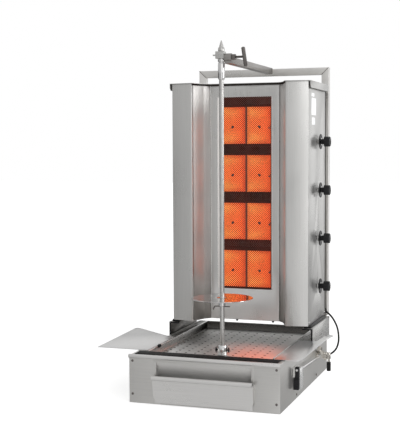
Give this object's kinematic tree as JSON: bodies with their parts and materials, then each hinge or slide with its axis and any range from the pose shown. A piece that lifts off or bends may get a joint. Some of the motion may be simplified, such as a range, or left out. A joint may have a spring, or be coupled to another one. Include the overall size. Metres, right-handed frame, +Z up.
{
  "type": "vertical rotisserie grill",
  "caption": "Upright gas rotisserie grill: turning spit with a carving disc before a sliding head of stacked ceramic burners, over a base with a perforated pan and a drip drawer.",
  "frame": {"origin": "centre of the base's flat underside, on the surface the grill stands on", "axes": "+X to the right as seen from the front, +Y from the front of the base to its back, +Z up along the spit"},
  "size_m": [0.75, 0.782, 1.207],
  "materials": {
    "brushed_steel": "brushed, fine vertical or lengthwise grain",
    "satin_steel": "satin, brighter than the panels",
    "mirror_steel": "mirror polished",
    "dark_steel": "heat darkened",
    "chrome": "polished",
    "ceramic": "matt perforated ceramic, glowing orange in use",
    "black_plastic": "satin black",
    "black_rubber": "matt black",
    "motor_paint": "dark grey enamel"
  },
  "bodies": {
    "base": {"base_housing": "brushed_steel", "base_floor": "brushed_steel", "front_trim": "satin_steel", "finger_recess": "brushed_steel", "pan_frame": "satin_steel", "drain_plate": "satin_steel", "motor_bracket": "dark_steel", "drive_gearbox": "motor_paint", "drive_motor": "dark_steel", "left_rail": "satin_steel", "right_rail": "satin_steel", "left_post": "brushed_steel", "right_post": "brushed_steel", "top_crossbar": "brushed_steel", "spit_arm": "brushed_steel", "bearing_block": "satin_steel", "switch_box": "satin_steel", "gas_valve": "chrome", "conduit": "chrome", "cord_gland": "black_plastic", "cord": "black_rubber"},
    "drip_drawer": {"drawer_pan": "brushed_steel", "drawer_face": "satin_steel"},
    "spit": {"drive_shaft": "chrome", "spit_socket": "chrome", "skewer": "satin_steel", "skewer_sleeve": "chrome"},
    "carving_disc": {"meat_disc": "mirror_steel"},
    "lock_pin": {"locking_pin": "dark_steel"},
    "thumb_screw_left": {"thumb_screw_left": "black_plastic"},
    "thumb_screw_right": {"thumb_screw_right": "black_plastic"},
    "clamp_screw": {"clamp_screw": "dark_steel"},
    "left_wing": {"left_wing": "brushed_steel"},
    "right_wing": {"right_wing": "mirror_steel"},
    "switch_lever": {"switch_lever": "black_plastic"},
    "gas_lever": {"gas_lever": "black_rubber"},
    "burner_head": {"head_shell": "brushed_steel", "top_cover": "brushed_steel", "left_front_panel": "brushed_steel", "right_front_panel": "brushed_steel", "left_reflector": "satin_steel", "right_reflector": "satin_steel", "window_frame": "brushed_steel", "burner_guard": "dark_steel", "left_runner": "black_plastic", "right_runner": "black_plastic", "gas_manifold": "dark_steel", "burner_body_1": "dark_steel", "burner_body_2": "dark_steel", "burner_body_3": "dark_steel", "burner_body_4": "dark_steel", "ceramic_tiles_1": "ceramic", "ceramic_tiles_2": "ceramic", "ceramic_tiles_3": "ceramic", "ceramic_tiles_4": "ceramic"},
    "gas_knob_1": {"gas_knob_1": "black_plastic"},
    "gas_knob_2": {"gas_knob_2": "black_plastic"},
    "gas_knob_3": {"gas_knob_3": "black_plastic"},
    "gas_knob_4": {"gas_knob_4": "black_plastic"}
  },
  "joints": [
    {"name": "drawer_slide", "type": "slide", "parent": "base", "child": "drip_drawer", "axis": [0, -1, 0], "range_m": [0, 0.45]},
    {"name": "spit_spin", "type": "hinge", "parent": "base", "child": "spit", "pos_m": [0, -0.147, 0.14], "axis": [0, 0, 1], "continuous": true},
    {"name": "disc_height", "type": "slide", "parent": "spit", "child": "carving_disc", "axis": [0, 0, 1], "range_m": [0, 0.25]},
    {"name": "lock_pin_pull", "type": "slide", "parent": "spit", "child": "lock_pin", "axis": [-1, 0, 0], "range_m": [0, 0.04]},
    {"name": "thumb_screw_left_turn", "type": "hinge", "parent": "spit", "child": "thumb_screw_left", "pos_m": [-0.02, -0.147, 0.152], "axis": [1, 0, 0], "continuous": true},
    {"name": "thumb_screw_right_turn", "type": "hinge", "parent": "spit", "child": "thumb_screw_right", "pos_m": [0.02, -0.147, 0.152], "axis": [1, 0, 0], "continuous": true},
    {"name": "clamp_screw_turn", "type": "hinge", "parent": "base", "child": "clamp_screw", "pos_m": [0.06, -0.147, 1.1495], "axis": [1, 0, 0], "continuous": true},
    {"name": "left_wing_lift", "type": "hinge", "parent": "base", "child": "left_wing", "pos_m": [-0.222, -0.1, 0.1616], "axis": [0, 1, 0], "range_deg": [0, 43]},
    {"name": "right_wing_lift", "type": "hinge", "parent": "base", "child": "right_wing", "pos_m": [0.222, -0.1, 0.1616], "axis": [0, -1, 0], "range_deg": [0, 43]},
    {"name": "switch_lever_swing", "type": "hinge", "parent": "base", "child": "switch_lever", "pos_m": [0.278, -0.205, 0.113], "axis": [0, -1, 0], "range_deg": [0, 60]},
    {"name": "gas_lever_turn", "type": "hinge", "parent": "base", "child": "gas_lever", "pos_m": [0.3055, 0.168, 0.092], "axis": [-1, 0, 0], "range_deg": [0, 90]},
    {"name": "head_slide", "type": "slide", "parent": "base", "child": "burner_head", "axis": [0, -1, 0], "range_m": [0, 0.08]},
    {"name": "gas_knob_1_turn", "type": "hinge", "parent": "burner_head", "child": "gas_knob_1", "pos_m": [0.28, 0.209, 0.866], "axis": [1, 0, 0], "range_deg": [0, 180]},
    {"name": "gas_knob_2_turn", "type": "hinge", "parent": "burner_head", "child": "gas_knob_2", "pos_m": [0.28, 0.209, 0.69], "axis": [1, 0, 0], "range_deg": [0, 180]},
    {"name": "gas_knob_3_turn", "type": "hinge", "parent": "burner_head", "child": "gas_knob_3", "pos_m": [0.28, 0.209, 0.514], "axis": [1, 0, 0], "range_deg": [0, 180]},
    {"name": "gas_knob_4_turn", "type": "hinge", "parent": "burner_head", "child": "gas_knob_4", "pos_m": [0.28, 0.209, 0.338], "axis": [1, 0, 0], "range_deg": [0, 180]}
  ]
}
